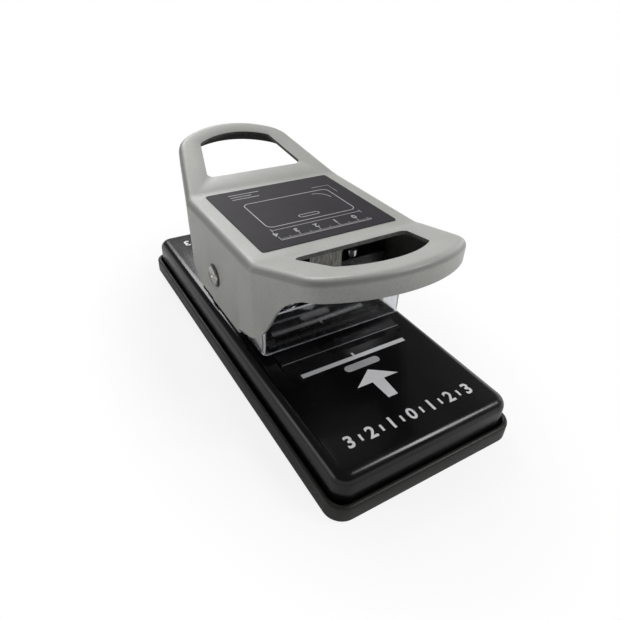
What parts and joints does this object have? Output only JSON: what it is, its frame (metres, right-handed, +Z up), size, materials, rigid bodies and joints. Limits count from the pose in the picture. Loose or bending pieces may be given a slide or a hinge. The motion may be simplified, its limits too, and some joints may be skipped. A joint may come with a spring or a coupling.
{
  "type": "desk slot punch and corner cutter",
  "caption": "Hand-operated desk punch for cards: a rocking handle drives a slot punch at the front and a corner cutter at the rear, on a base with a chip tray.",
  "frame": {"origin": "middle of the footprint, on the desk under the rubber feet", "axes": "+Z up, -Y towards the slot punching end, +Y towards the corner cutting end, X across the machine"},
  "size_m": [0.092, 0.212, 0.0888],
  "materials": {
    "handle_paint": "fine texture, light grey",
    "tray_plastic": "satin black",
    "cover_plastic": "gloss black",
    "feet_rubber": "matt",
    "plate_steel": "ground",
    "die_steel": "blackened",
    "frame_paint": "semi-gloss black",
    "block_black": "blackened steel",
    "guard_clear": "clear acrylic",
    "shaft_steel": "polished",
    "post_chrome": "polished",
    "spring_steel": "drawn wire",
    "screw_steel": "zinc plated",
    "drive_steel": "sawn and milled",
    "blade_steel": "ground and hardened",
    "bush_nylon": "black nylon",
    "label_vinyl": null
  },
  "bodies": {
    "tray": {"chip_tray": "tray_plastic", "foot_pads": "feet_rubber"},
    "base": {"base_cover": "cover_plastic", "base_plate": "plate_steel", "slot_die_plate": "die_steel", "corner_die_plate": "die_steel", "slot_spacer": "plate_steel", "corner_fence": "plate_steel", "slot_guide_block": "block_black", "corner_guide_block": "block_black", "slot_block_screws": "screw_steel", "corner_block_screws": "screw_steel", "frame_left": "frame_paint", "frame_right": "frame_paint", "frame_screws": "screw_steel", "front_guard": "guard_clear", "rear_guard": "guard_clear", "guard_screws": "screw_steel", "pivot_shaft": "shaft_steel", "shaft_clips": "spring_steel", "frame_spacer": "plate_steel", "slot_posts": "post_chrome", "corner_posts": "post_chrome", "slot_springs": "spring_steel", "corner_springs": "spring_steel"},
    "slot_ram": {"slot_crosshead": "block_black", "slot_blade": "blade_steel", "slot_pin": "shaft_steel"},
    "corner_ram": {"corner_crosshead": "block_black", "corner_blade": "blade_steel", "corner_pin": "shaft_steel"},
    "handle": {"handle_shell": "handle_paint", "pivot_bushes": "bush_nylon", "slot_drive_block": "drive_steel", "corner_drive_block": "drive_steel", "drive_screws": "screw_steel", "label_plate": "label_vinyl"}
  },
  "joints": [
    {"name": "base_lift", "type": "slide", "parent": "tray", "child": "base", "axis": [0, 0, 1], "range_m": [0, 0.025]},
    {"name": "handle_rock", "type": "hinge", "parent": "base", "child": "handle", "pos_m": [0, 0.0055, 0.0465], "axis": [1, 0, 0], "range_deg": [-10.5, 10.5], "stiffness_Nm_per_rad": 3.9},
    {"name": "slot_slide", "type": "slide", "parent": "base", "child": "slot_ram", "axis": [0, 0, 1], "range_m": [-0.00404, 0.00404], "deforming": ["slot_springs"]},
    {"name": "corner_slide", "type": "slide", "parent": "base", "child": "corner_ram", "axis": [0, 0, 1], "range_m": [-0.00404, 0.00404], "deforming": ["corner_springs"]}
  ],
  "couplings": [
    {"joint": "slot_slide", "follows": "handle_rock", "m_per_rad": -0.022},
    {"joint": "corner_slide", "follows": "handle_rock", "m_per_rad": 0.022}
  ]
}
